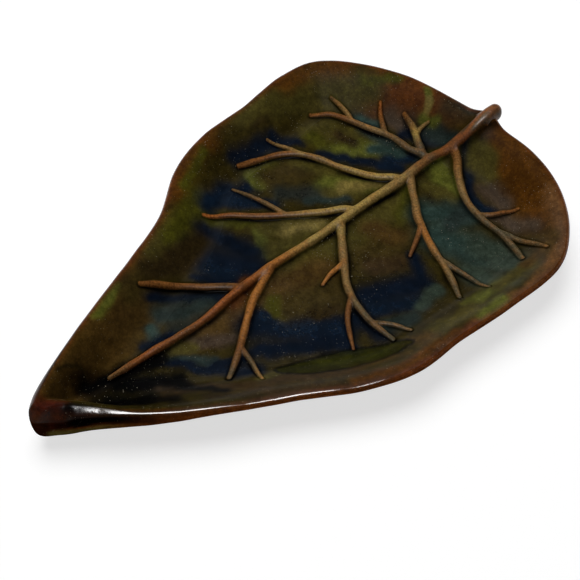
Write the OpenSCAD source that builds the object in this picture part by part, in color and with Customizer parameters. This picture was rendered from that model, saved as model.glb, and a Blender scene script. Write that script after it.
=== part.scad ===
// Leaf-shaped ring dish of glazed pottery. The body is one pressed slab with a turned-up, rounded rim.
// A low foot ring is set on its underside, and rolled clay cords are laid on its floor as the leaf's veins.
// Millimetres. +Y runs from the tip to the stem, +X across the leaf, +Z up. The table is z = 0.

/* [Leaf] */
// Length of the leaf from the tip to the shoulders beside the stem
dish_l = 178; // [150:1:220]
// Width across the rim at the widest place
dish_w = 114.5; // [96:0.5:140]

/* [Rim and wall] */
// Height of the rim above the table along the sides
rim_h = 14; // [12:0.5:20]
// How much higher the rim stands at the tip
tip_rise = 3; // [0:0.5:6]
// How far from the tip the rim has come down to its side height
tip_reach = 60; // [40:1:80]
// Radius of the rounded rim edge
lip_r = 1.3; // [1:0.1:2]
// Inside reach of the sloping wall along the sides, from the rim's crest to the floor
side_run = 15; // [11:0.5:17]
// Inside reach of the wall at the tip, where it stands steeply
tip_run = 6; // [4:0.5:9]
// Thickness of the slab under the flat floor
floor_t = 4; // [3:0.25:6]

/* [Foot] */
// Height of the foot ring, which lifts the slab off the table
foot_h = 2; // [1.5:0.25:4]
// Width of the foot ring's clay
foot_w = 3.5; // [2.5:0.25:5]
// Flat underside left between the wall and the foot ring, at the sides and at the stem
foot_margin = 10; // [6:0.5:14]

/* [Midrib and stem] */
// Width of the midrib cord at the stem
midrib_w = 3.6; // [2.6:0.1:4.5]
// Width of the midrib cord at its thin end
midrib_end_w = 2.4; // [1.8:0.1:3]
// Height of the midrib cord above the floor
midrib_h = 1.9; // [1.4:0.1:3]
// Width of the stem cord where it crosses the rim
stem_w = 4.8; // [3.6:0.1:6]
// Height of the stem cord where it crosses the rim
stem_h = 4.2; // [2.5:0.1:5.5]
// How far the stem stands out beyond the rim
stem_over = 5; // [3:0.5:10]

/* [Veins] */
// Width of a side vein where it leaves the midrib
vein_w = 2.8; // [2:0.1:3.2]
// Width of a side vein at its far end
vein_end_w = 2; // [1.2:0.1:2.4]
// Height of a side vein above the floor
vein_h = 1.4; // [1:0.1:2.2]
// Width of a twig where it leaves its vein
twig_w = 1.9; // [1.4:0.1:2.4]
// Width of a twig at its far end
twig_end_w = 1.4; // [0.9:0.1:1.8]
// Height of a twig above the floor
twig_h = 1; // [0.7:0.1:1.6]

/* [Fits] */
// Glaze-filled gap between a cord and the floor that it is laid on
seat_gap = 0.2; // [0.2:0.05:0.3]
// Gap between a cord's root and the flank of the cord that it branches from
root_gap = 0.2; // [0.2:0.05:0.4]

/* [Hidden] */

// The drawn leaf: [across, along] points of the rim's outer edge, from the tip to the notch at the stem.
// Both sides have as many points, so that the rows between them run straight across the leaf.
drawn_tip = [0.4, 0];
drawn_notch = [-0.5, 175.6];
drawn_right = [[4.2, 4.2], [9.6, 12.1], [16, 20.5], [27.8, 37.4], [40.6, 60.9], [51.4, 80.6], [56, 94.8],
    [55.7, 112], [56.5, 132], [55.1, 152.5], [47.1, 164.4], [33.6, 173.6], [17, 177.5]];
drawn_left = [[-4.5, 3.6], [-11.6, 16.8], [-18.3, 30.6], [-28.4, 53.5], [-36, 70], [-48.1, 85.1],
    [-54, 100.7], [-55.6, 118], [-58.4, 136], [-56.8, 148], [-47.5, 158.6], [-32, 168.5], [-15, 173.3]];

// The drawn veins: [across, along] points of each cord's centre line, from its root to its end.
// The first point of a branch lies on the cord that it leaves.
drawn_midrib = [[-1.1, 175.6], [-1.1, 172], [-1.4, 168.5], [-2.2, 165.6], [-3.4, 161.6], [-4.7, 155],
    [-3.6, 141], [-3.7, 128], [-3.3, 115], [-3, 104], [-3.2, 93], [-3.2, 83], [-2.3, 72.9], [-0.5, 61],
    [-0.5, 50], [-1, 40], [-1.2, 27]];
drawn_left_1 = [[-8.1, 154], [-9.9, 155], [-12.4, 156.1], [-14.9, 157.4], [-17.8, 158.5], [-23, 159.4]];
drawn_left_2 = [[-4.6, 154.5], [-8.4, 153.5], [-12.3, 152], [-15.9, 151.5], [-18.9, 151], [-21.9, 150],
    [-27.5, 147.4], [-33, 145.2], [-39.4, 141.9], [-43.4, 136.4]];
drawn_left_3 = [[-3.6, 141.8], [-6.2, 140.3], [-8.9, 137.1], [-12.1, 134.5], [-17, 131.6], [-20.9, 129.4],
    [-27.5, 126.4], [-33.4, 122.1], [-36.9, 117.1], [-39, 111.1], [-40.8, 104.5]];
drawn_left_4 = [[-3.6, 122], [-6.4, 119.6], [-9.3, 114.2], [-12.7, 108.8], [-20.6, 97.4], [-26.9, 90.3],
    [-31.1, 83.4]];
drawn_left_5 = [[-2.6, 76.4], [-6.2, 72.6], [-9.8, 67.7], [-14.5, 62.4], [-17.7, 56.9], [-19.8, 51.5]];
drawn_right_1 = [[-3.3, 162.4], [1, 160.8], [5.7, 157.1], [12, 153.2], [17.5, 151.2], [24.5, 150.5],
    [32, 151.1], [38.9, 150.3], [43.4, 148.7]];
drawn_right_2 = [[-3.5, 144.7], [2.2, 140.8], [5.2, 139.1], [10.7, 135.4], [14.4, 133.9], [22.1, 131],
    [28, 129.6], [34.9, 127.6], [41.2, 125]];
drawn_right_3 = [[-3.3, 115.5], [4.1, 110.1], [11, 105.2], [16.6, 101.5], [22.1, 99.5], [28, 98.6],
    [33, 98.5], [39.9, 99.6]];
drawn_right_4 = [[-3.2, 87.8], [0, 81.6], [2.7, 76.5], [6.7, 71.3], [10.4, 66.9], [13.9, 62.8],
    [17.6, 57.9], [20.2, 53.9]];
drawn_left_1a = [[-15.1, 157.5], [-15.6, 160], [-15, 162.6]];
drawn_left_2a = [[-21.7, 150.1], [-25.4, 152.2], [-28.7, 154.1], [-31.7, 156.4]];
drawn_left_2b = [[-33, 145.2], [-36, 146.3], [-40.2, 146.4], [-44, 145.6]];
drawn_left_3a = [[-31.7, 123.6], [-37.5, 121.4], [-43, 118]];
drawn_left_4a = [[-15.9, 104.1], [-25.5, 101.4], [-34.8, 97.5]];
drawn_right_1a = [[22, 150.6], [24.6, 154.1], [26.4, 158], [28.5, 161.6]];
drawn_right_1b = [[30.1, 150.9], [33.6, 152.5], [38, 153.6], [42, 154.3], [47, 154.9]];
drawn_right_2a = [[13.7, 134.1], [17, 129.3], [20.3, 123.6]];
drawn_right_2b = [[26.5, 129.9], [33.7, 131.3], [38.5, 132.3], [44.9, 133.5]];
drawn_right_3a = [[9.5, 106.2], [10.4, 99.9], [11.8, 95.9]];
drawn_right_3b = [[20.6, 99.9], [25.1, 94.6], [29.4, 91.5], [35.2, 88.3]];
drawn_right_3c = [[31.5, 98.5], [36.2, 102.8], [41, 105.7]];
drawn_right_4a = [[13.8, 62.9], [20.5, 62.1], [27.6, 60.4]];

// Where the oval foot ring starts, along the drawn leaf from the tip
drawn_foot_start = 46;

// Steps between two drawn points of the rim, and between two drawn points of a cord
rim_steps = 6;
cord_steps = 4;
// Distance between two rings of a cord, and the faces over its rounded top
ring_step = 2.5;
round_faces = 6;
// Ends of the middle line that the rows across the dish run to, along the drawn leaf
spine_from = 22;
spine_to = 150;

// Smallest share of its width that a cord keeps at its rounded end
end_share = 0.35;
// How far a root may be stepped off, in widths of the cord that it leaves
root_reach = 3;
// Highest part of a root, as a share of the height of the cord that it leaves
root_top = 0.9;
// How far down the outer wall its upper stretch hangs straight, as a share of the wall's height
side_hang = 0.22;
tip_hang = 0.9;
// Share of the outer wall's reach that turns in flat under the dish
under_turn = 0.5;

// Smooth curve through points, which keeps its shape where they are unevenly spaced
function knot(a, b) = sqrt(norm(b - a));
function slope_at(a, b, c) = let (k = knot(a, b), m = knot(b, c))
    (b - a) / k + (c - b) / m - (c - a) / (k + m);
function span(p, t) =
    let (m = knot(p[1], p[2]), u = m * slope_at(p[0], p[1], p[2]), v = m * slope_at(p[1], p[2], p[3]))
    (2*t^3 - 3*t^2 + 1) * p[1] + (t^3 - 2*t^2 + t) * u + (3*t^2 - 2*t^3) * p[2] + (t^3 - t^2) * v;
function closed_curve(p, steps) = let (n = len(p))
    [for (i = [0:n - 1], k = [0:steps - 1]) span([for (j = [-1:2]) p[(i + j + n) % n]], k / steps)];
function open_curve(p, steps) =
    let (n = len(p), q = concat([2*p[0] - p[1]], p, [2*p[n - 1] - p[n - 2]]))
    concat([for (i = [0:n - 2], k = [0:steps - 1]) span([for (j = [0:3]) q[i + j]], k / steps)], [p[n - 1]]);

function reversed(p) = [for (i = [len(p) - 1:-1:0]) p[i]];
function unit(v) = v / norm(v);
function turned(v) = [-v.y, v.x];
function mixed(a, b, t) = a + (b - a) * t;
function across(p) = [for (q = p) q.x];
function along(p) = [for (q = p) q.y];

// The drawn leaf stretched to its length and width
drawn_rim = closed_curve(concat([drawn_tip], drawn_right, [drawn_notch], reversed(drawn_left)), rim_steps);
stretch = [dish_w / (max(across(drawn_rim)) - min(across(drawn_rim))),
    dish_l / (max(along(drawn_rim)) - min(along(drawn_rim)))];
function stretched(p) = [for (q = p) [q.x * stretch.x, q.y * stretch.y]];
rim = stretched(drawn_rim);
notch_y = drawn_notch.y * stretch.y;
half_rim = len(rim) / 2;

// The origin is under the middle of the whole dish, stem included
middle = [(max(across(rim)) + min(across(rim))) / 2,
    (max(concat(along(rim), [notch_y + stem_over])) + min(along(rim))) / 2];

// Heights
under_z = foot_h;
floor_z = foot_h + floor_t;
function fade(u) = let (c = min(max(u, 0), 1)) 1 - c*c*(3 - 2*c);
function crest_z(y) = rim_h + tip_rise * fade(y / tip_reach);
function wall_run(y) = mixed(side_run, tip_run, fade(y / tip_reach));

// Distance of a point from the rim's outer edge
function from_edge(p) = min([for (i = [0:len(rim) - 1])
    let (a = rim[i], b = rim[(i + 1) % len(rim)], t = min(max((p - a) * (b - a) / ((b - a) * (b - a)), 0), 1))
    norm(a + (b - a) * t - p)]);

// Height of the dish's upper surface: level at the crest, easing down the wall to the flat floor
function top_z(p) = let (q = min(max((from_edge(p) - lip_r) / wall_run(p.y), 0), 1))
    floor_z + (crest_z(p.y) - floor_z) * (1 - q*q)^2;

// Rows of the dish: each station of the rim has a row of points from its crest to the middle line
top_shares = [0.12, 0.25, 0.4, 0.55, 0.7, 0.85, 1, 1.15];
lip_angles = [90:-22.5:0];
under_shares = [0.15, 0.3, 0.45, 0.6, 0.8, 1];
function spine(i) = let (k = i <= half_rim ? i : 2*half_rim - i)
    [0, mixed(spine_from, spine_to, k / half_rim) * stretch.y];
function inward(i) = let (n = len(rim)) turned(unit(rim[(i + 1) % n] - rim[(i + n - 1) % n]));
function crest(i) = rim[i] + inward(i) * lip_r;
function toward_spine(i, from, d) = from + unit(spine(i) - from) * d;
function bezier(a, b, c, d, t) = (1-t)^3*a + 3*(1-t)^2*t*b + 3*(1-t)*t^2*c + t^3*d;
function hang(y) = mixed(side_hang, tip_hang, fade(y / tip_reach));

function with_z(p, z) = [p.x, p.y, z];
// A row that runs slantwise is longer over the wall
function wall_reach(i) = wall_run(rim[i].y) / (inward(i) * unit(spine(i) - crest(i)));
function top_row(i) = concat(
    [mixed(toward_spine(i, crest(i), wall_reach(i) * max(top_shares)), spine(i), 0.5)],
    [for (share = reversed(top_shares)) toward_spine(i, crest(i), wall_reach(i) * share)]);
function lip_row(i) = let (z = crest_z(rim[i].y) - lip_r)
    [for (a = lip_angles) with_z(rim[i] + inward(i) * lip_r * (1 - cos(a)), z + lip_r * sin(a))];
function under_row(i) =
    let (p = rim[i], z = crest_z(p.y) - lip_r, run = wall_run(p.y))
    [for (t = under_shares)
        let (low = mixed(z, under_z, hang(p.y)),
            b = bezier([0, z], [0, low], [run * under_turn, under_z], [run, under_z], t))
        with_z(toward_spine(i, p, b.x), b.y)];
function body_row(i) = concat([for (p = top_row(i)) with_z(p, top_z(p))], lip_row(i), under_row(i));

// The slab: rows round the whole rim, closed along the middle line above and below
module dish_body() {
    n = len(rim);
    rows = [for (i = [0:n - 1]) body_row(i)];
    m = len(rows[0]);
    top_line = [for (i = [0:half_rim]) with_z(spine(i), top_z(spine(i)))];
    under_line = [for (i = [0:half_rim]) with_z(spine(i), under_z)];
    points = concat([for (r = rows, p = r) p], top_line, under_line);
    top_at = n * m;
    under_at = top_at + half_rim + 1;
    function line_at(i) = i <= half_rim ? i : n - i;
    function ring_at(i) = (i % n) * m;
    wall_faces = [for (i = [0:n - 1], j = [0:m - 2]) let (a = ring_at(i) + j, b = ring_at(i + 1) + j)
        each [[a, b, b + 1], [a, b + 1, a + 1]]];
    top_faces = [for (i = [0:n - 1])
        let (a = ring_at(i), b = ring_at(i + 1), s = top_at + line_at(i), e = top_at + line_at((i + 1) % n))
        each [[s, e, b], [s, b, a]]];
    under_faces = [for (i = [0:n - 1])
        let (a = ring_at(i) + m - 1, b = ring_at(i + 1) + m - 1,
            s = under_at + line_at(i), e = under_at + line_at((i + 1) % n))
        each [[a, b, e], [a, e, s]]];
    color("saddlebrown") translate([-middle.x, -middle.y, 0])
        polyhedron(points, concat(wall_faces, top_faces, under_faces), convexity = 6);
}

// The foot: a low oval ring of clay on the flat underside
foot_across = dish_w / 2 - side_run - foot_margin;
foot_start = drawn_foot_start * stretch.y;
foot_end = notch_y - side_run - foot_margin;
module foot_oval(inset) {
    half = [foot_across - inset, (foot_end - foot_start) / 2 - inset];
    translate([0, (foot_start + foot_end) / 2])
        polygon([for (a = [0:5:355]) [half.x * cos(a), half.y * sin(a)]]);
}
module foot_ring() {
    color("burlywood") translate([-middle.x, -middle.y, 0]) linear_extrude(foot_h) difference() {
        foot_oval(0);
        foot_oval(foot_w);
    }
}

// Cords are laid along a path. A cord is [path, root width, end width, height]
midrib_path = concat([[drawn_midrib[0].x * stretch.x, notch_y + stem_over]],
    open_curve(stretched(drawn_midrib), cord_steps));
midrib_cord = [midrib_path, midrib_w, midrib_end_w, midrib_h];
function vein_cord(drawn) = [open_curve(stretched(drawn), cord_steps), vein_w, vein_end_w, vein_h];
function twig_cord(drawn) = [open_curve(stretched(drawn), cord_steps), twig_w, twig_end_w, twig_h];

// Where a cord is, how wide and which way it runs, a distance s along it
function lengths(p) =
    [for (i = 0, s = 0; i < len(p); i = i + 1, s = s + (i < len(p) ? norm(p[i] - p[i - 1]) : 0)) s];
function place(p, l, s) = let (i = max([for (k = [0:len(p) - 2]) if (l[k] <= s || k == 0) k]))
    mixed(p[i], p[i + 1], (s - l[i]) / (l[i + 1] - l[i]));
function heading(p, l, s) = unit(place(p, l, s + ring_step / 4) - place(p, l, s - ring_step / 4));

// Height that a cord is laid at: on the dish, and level with the crest beyond the rim
function seat_z(p) = top_z([p.x, min(p.y, notch_y - lip_r)]) + seat_gap;

// One ring across a cord: a half-round top over a base that follows the dish
function ring(at, side, w, h) = [for (k = [0:round_faces])
    let (a = 180 * k / round_faces, p = at + side * w / 2 * cos(a))
    with_z(p, seat_z(p) + h * sin(a))];

// Distance of a point from a cord's centre line
function from_path(path, q) = min([for (i = [0:len(path) - 2])
    let (a = path[i], b = path[i + 1], t = min(max((q - a) * (b - a) / ((b - a) * (b - a)), 0), 1))
    norm(a + (b - a) * t - q)]);

// How far to go from a point to stand clear of a centre line by a distance, found by halving the range
function step_off(path, from, dir, clear, low, high, halvings = 12) = let (s = (low + high) / 2)
    halvings == 0 ? high : from_path(path, from + dir * s) < clear
        ? step_off(path, from, dir, clear, s, high, halvings - 1)
        : step_off(path, from, dir, clear, low, s, halvings - 1);

// A point of a branch's root, cut to stand off the flank of the cord that it leaves and kept below its top
function root_point(path, aside, rise, parent) =
    let (u = min(rise, parent[3] * root_top), dir = heading(path, lengths(path), ring_step),
        from = path[0] + turned(dir) * aside, flank = parent[1] / 2 * sqrt(1 - (u / parent[3])^2) + root_gap,
        q = from + dir * step_off(parent[0], from, dir, flank, 0, parent[1] * root_reach))
    with_z(q, seat_z(q) + u);
function root_ring(path, w, h, parent) = [for (k = [0:round_faces])
    let (a = 180 * k / round_faces)
    root_point(path, w / 2 * cos(a), h * sin(a), parent)];

// A closed tube through rings, with a fan over each end from a point inside that end's ring
function centre(r) = let (n = len(r)) mixed(mixed(r[0], r[n - 1], 0.5), r[floor(n / 2)], 0.5);
module tube(rings, start_point) {
    n = len(rings);
    m = len(rings[0]);
    points = concat([for (r = rings, p = r) p], [start_point, centre(rings[n - 1])]);
    side_faces = [for (i = [0:n - 2], j = [0:m - 1]) let (a = i*m + j, b = i*m + (j + 1) % m)
        each [[a, b + m, b], [a, a + m, b + m]]];
    start_fan = [for (j = [0:m - 1]) [n*m, j, (j + 1) % m]];
    end_fan = [for (j = [0:m - 1]) [n*m + 1, (n - 1)*m + (j + 1) % m, (n - 1)*m + j]];
    translate([-middle.x, -middle.y, 0])
        polyhedron(points, concat(side_faces, start_fan, end_fan), convexity = 6);
}

// How full a cord is near a rounded end, e from that end
function rounded(e, w) = e >= w / 2 ? 1 : max(sqrt(1 - (1 - 2*e/w)^2), end_share);

// Stations along a cord from s to its end: evenly spaced, with two more over the rounded end
function stations(s, total, w) = let (last = total - w / 2, n = max(ceil((last - s) / ring_step), 1))
    concat([for (k = [0:n]) mixed(s, last, k / n)], [total - w / 6, total]);

module branch(cord, parent) {
    path = cord[0];
    l = lengths(path);
    total = l[len(l) - 1];
    first = root_ring(path, cord[1], cord[3], parent);
    s = max([for (p = first) norm([p.x, p.y] - path[0])]) + ring_step / 4;
    rings = concat([first], [for (t = stations(s, total, cord[2]))
        let (w = mixed(cord[1], cord[2], t / total), h = cord[3] * mixed(1, w / cord[1], 0.5),
            f = rounded(total - t, w))
        ring(place(path, l, t), turned(heading(path, l, t)), w * f, h * f)]);
    tube(rings, root_point(path, 0, cord[3] / 2, parent));
}

module midrib() {
    path = midrib_path;
    l = lengths(path);
    total = l[len(l) - 1];
    on_rim = stem_over + wall_run(notch_y);
    start = [0, stem_w / 6];
    rings = [for (t = concat(start, stations(stem_w / 2, total, midrib_end_w)))
        let (w = mixed(midrib_w, midrib_end_w, t / total) + (stem_w - midrib_w) * fade(t / on_rim),
            h = mixed(midrib_h, stem_h, fade(t / on_rim)),
            f = rounded(total - t, w) * rounded(t, w))
        ring(place(path, l, t), turned(heading(path, l, t)), w * f, h * f)];
    color("sienna") tube(rings, centre(rings[0]));
}

vein_left_1_cord = vein_cord(drawn_left_1);
vein_left_2_cord = vein_cord(drawn_left_2);
vein_left_3_cord = vein_cord(drawn_left_3);
vein_left_4_cord = vein_cord(drawn_left_4);
vein_left_5_cord = vein_cord(drawn_left_5);
vein_right_1_cord = vein_cord(drawn_right_1);
vein_right_2_cord = vein_cord(drawn_right_2);
vein_right_3_cord = vein_cord(drawn_right_3);
vein_right_4_cord = vein_cord(drawn_right_4);

module vein(cord, parent = midrib_cord) color("peru") branch(cord, parent);
module twig(drawn, parent) color("darkgoldenrod") branch(twig_cord(drawn), parent);

dish_body();
foot_ring();
midrib();
vein(vein_left_1_cord, vein_left_2_cord);  // vein_left_1
vein(vein_left_2_cord);  // vein_left_2
vein(vein_left_3_cord);  // vein_left_3
vein(vein_left_4_cord);  // vein_left_4
vein(vein_left_5_cord);  // vein_left_5
vein(vein_right_1_cord);  // vein_right_1
vein(vein_right_2_cord);  // vein_right_2
vein(vein_right_3_cord);  // vein_right_3
vein(vein_right_4_cord);  // vein_right_4
twig(drawn_left_1a, vein_left_1_cord);  // twig_left_1a
twig(drawn_left_2a, vein_left_2_cord);  // twig_left_2a
twig(drawn_left_2b, vein_left_2_cord);  // twig_left_2b
twig(drawn_left_3a, vein_left_3_cord);  // twig_left_3a
twig(drawn_left_4a, vein_left_4_cord);  // twig_left_4a
twig(drawn_right_1a, vein_right_1_cord);  // twig_right_1a
twig(drawn_right_1b, vein_right_1_cord);  // twig_right_1b
twig(drawn_right_2a, vein_right_2_cord);  // twig_right_2a
twig(drawn_right_2b, vein_right_2_cord);  // twig_right_2b
twig(drawn_right_3a, vein_right_3_cord);  // twig_right_3a
twig(drawn_right_3b, vein_right_3_cord);  // twig_right_3b
twig(drawn_right_3c, vein_right_3_cord);  // twig_right_3c
twig(drawn_right_4a, vein_right_4_cord);  // twig_right_4a
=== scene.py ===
"""Leaf ring dish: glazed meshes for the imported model's pieces, with their glaze, the light and the camera."""
import math

import bpy
import numpy as np
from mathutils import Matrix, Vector

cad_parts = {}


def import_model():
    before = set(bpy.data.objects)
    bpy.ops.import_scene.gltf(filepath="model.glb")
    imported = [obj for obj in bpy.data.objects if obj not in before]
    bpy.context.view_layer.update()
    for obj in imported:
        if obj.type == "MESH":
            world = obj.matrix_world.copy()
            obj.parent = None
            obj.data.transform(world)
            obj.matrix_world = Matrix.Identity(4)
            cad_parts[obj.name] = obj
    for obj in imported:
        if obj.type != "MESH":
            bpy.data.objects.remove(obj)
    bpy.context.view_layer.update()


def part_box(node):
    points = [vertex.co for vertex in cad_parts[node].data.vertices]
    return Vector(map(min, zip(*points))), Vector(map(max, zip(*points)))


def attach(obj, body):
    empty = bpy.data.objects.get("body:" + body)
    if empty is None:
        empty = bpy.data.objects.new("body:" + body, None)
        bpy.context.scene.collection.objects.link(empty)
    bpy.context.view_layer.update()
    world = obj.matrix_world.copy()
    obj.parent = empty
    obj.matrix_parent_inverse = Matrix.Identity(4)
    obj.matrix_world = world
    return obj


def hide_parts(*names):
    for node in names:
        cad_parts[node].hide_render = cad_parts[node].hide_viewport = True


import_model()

# Lengths are millimetres up to the meshes, which are in metres.
MM = 0.001

# Sizes shared with the CAD model
RIM_H = 14
TIP_RISE = 3
TIP_REACH = 60
LIP_R = 1.3
SIDE_RUN = 15
TIP_RUN = 6
FLOOR_Z = 6
UNDER_Z = 2
STEM_OVER = 5
STEM_W = 4.8
STEM_H = 4.2
SIDE_HANG = 0.22
TIP_HANG = 0.9
UNDER_TURN = 0.5
FOOT_W = 3.5

# The drawn leaf's outer edge, [across, along] from the tip to the notch at the stem
TIP = [0.4, 0]
NOTCH = [-0.5, 175.6]
RIGHT_EDGE = [[4.2, 4.2], [9.6, 12.1], [16, 20.5], [27.8, 37.4], [40.6, 60.9], [51.4, 80.6], [56, 94.8],
              [55.7, 112], [56.5, 132], [55.1, 152.5], [47.1, 164.4], [33.6, 173.6], [17, 177.5]]
LEFT_EDGE = [[-4.5, 3.6], [-11.6, 16.8], [-18.3, 30.6], [-28.4, 53.5], [-36, 70], [-48.1, 85.1], [-54, 100.7],
             [-55.6, 118], [-58.4, 136], [-56.8, 148], [-47.5, 158.6], [-32, 168.5], [-15, 173.3]]

# The drawn cords, from root to end: kind and centre line
MIDRIB = [[-1.1, 175.6], [-1.1, 172], [-1.4, 168.5], [-2.2, 165.6], [-3.4, 161.6], [-4.7, 155], [-3.6, 141],
          [-3.7, 128], [-3.3, 115], [-3, 104], [-3.2, 93], [-3.2, 83], [-2.3, 72.9], [-0.5, 61], [-0.5, 50],
          [-1, 40], [-1.2, 27]]
CORDS = {
    "vein_left_1": [[-8.1, 154], [-9.9, 155], [-12.4, 156.1], [-14.9, 157.4], [-17.8, 158.5], [-23, 159.4]],
    "vein_left_2": [[-4.6, 154.5], [-8.4, 153.5], [-12.3, 152], [-15.9, 151.5], [-18.9, 151], [-21.9, 150],
                    [-27.5, 147.4], [-33, 145.2], [-39.4, 141.9], [-43.4, 136.4]],
    "vein_left_3": [[-3.6, 141.8], [-6.2, 140.3], [-8.9, 137.1], [-12.1, 134.5], [-17, 131.6],
                    [-20.9, 129.4], [-27.5, 126.4], [-33.4, 122.1], [-36.9, 117.1], [-39, 111.1],
                    [-40.8, 104.5]],
    "vein_left_4": [[-3.6, 122], [-6.4, 119.6], [-9.3, 114.2], [-12.7, 108.8], [-20.6, 97.4], [-26.9, 90.3],
                    [-31.1, 83.4]],
    "vein_left_5": [[-2.6, 76.4], [-6.2, 72.6], [-9.8, 67.7], [-14.5, 62.4], [-17.7, 56.9], [-19.8, 51.5]],
    "vein_right_1": [[-3.3, 162.4], [1, 160.8], [5.7, 157.1], [12, 153.2], [17.5, 151.2], [24.5, 150.5],
                    [32, 151.1], [38.9, 150.3], [43.4, 148.7]],
    "vein_right_2": [[-3.5, 144.7], [2.2, 140.8], [5.2, 139.1], [10.7, 135.4], [14.4, 133.9], [22.1, 131],
                    [28, 129.6], [34.9, 127.6], [41.2, 125]],
    "vein_right_3": [[-3.3, 115.5], [4.1, 110.1], [11, 105.2], [16.6, 101.5], [22.1, 99.5], [28, 98.6],
                    [33, 98.5], [39.9, 99.6]],
    "vein_right_4": [[-3.2, 87.8], [0, 81.6], [2.7, 76.5], [6.7, 71.3], [10.4, 66.9], [13.9, 62.8],
                    [17.6, 57.9], [20.2, 53.9]],
    "twig_left_1a": [[-15.1, 157.5], [-15.6, 160], [-15, 162.6]],
    "twig_left_2a": [[-21.7, 150.1], [-25.4, 152.2], [-28.7, 154.1], [-31.7, 156.4]],
    "twig_left_2b": [[-33, 145.2], [-36, 146.3], [-40.2, 146.4], [-44, 145.6]],
    "twig_left_3a": [[-31.7, 123.6], [-37.5, 121.4], [-43, 118]],
    "twig_left_4a": [[-15.9, 104.1], [-25.5, 101.4], [-34.8, 97.5]],
    "twig_right_1a": [[22, 150.6], [24.6, 154.1], [26.4, 158], [28.5, 161.6]],
    "twig_right_1b": [[30.1, 150.9], [33.6, 152.5], [38, 153.6], [42, 154.3], [47, 154.9]],
    "twig_right_2a": [[13.7, 134.1], [17, 129.3], [20.3, 123.6]],
    "twig_right_2b": [[26.5, 129.9], [33.7, 131.3], [38.5, 132.3], [44.9, 133.5]],
    "twig_right_3a": [[9.5, 106.2], [10.4, 99.9], [11.8, 95.9]],
    "twig_right_3b": [[20.6, 99.9], [25.1, 94.6], [29.4, 91.5], [35.2, 88.3]],
    "twig_right_3c": [[31.5, 98.5], [36.2, 102.8], [41, 105.7]],
    "twig_right_4a": [[13.8, 62.9], [20.5, 62.1], [27.6, 60.4]],
}
# Root width, end width and height of each kind of cord
CORD_SIZES = {"midrib": (3.6, 2.4, 1.9), "vein": (2.8, 2, 1.4), "twig": (1.9, 1.4, 1)}

# Glaze colours as they look, from 0 to 255
GLAZES = {
    "rust": (78, 46, 10), "redbrown": (78, 42, 14), "bark": (54, 40, 20), "brown": (56, 45, 16),
    "cocoa": (42, 32, 12), "umber": (70, 51, 20), "mauve": (64, 51, 38), "darkolive": (46, 38, 8),
    "olive": (68, 61, 22), "moss": (64, 62, 12), "green": (82, 84, 28), "olivetan": (109, 95, 46),
    "sage": (50, 61, 50), "teal": (39, 56, 50), "steel": (36, 46, 42), "ash": (38, 41, 35),
    "navy": (8, 18, 31), "deepblue": (11, 24, 38), "black": (3, 3, 3), "maroon": (66, 24, 12),
    "orange": (120, 76, 31), "redclay": (106, 59, 25), "sienna": (84, 52, 24), "dusk": (74, 57, 34),
    "greytan": (66, 58, 40), "dimtan": (100, 78, 44), "tanolive": (119, 99, 51), "rimlight": (98, 66, 34),
    "edge": (92, 46, 20), "wall": (130, 70, 26), "speck_and_glint": (178, 168, 146),
}
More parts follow.
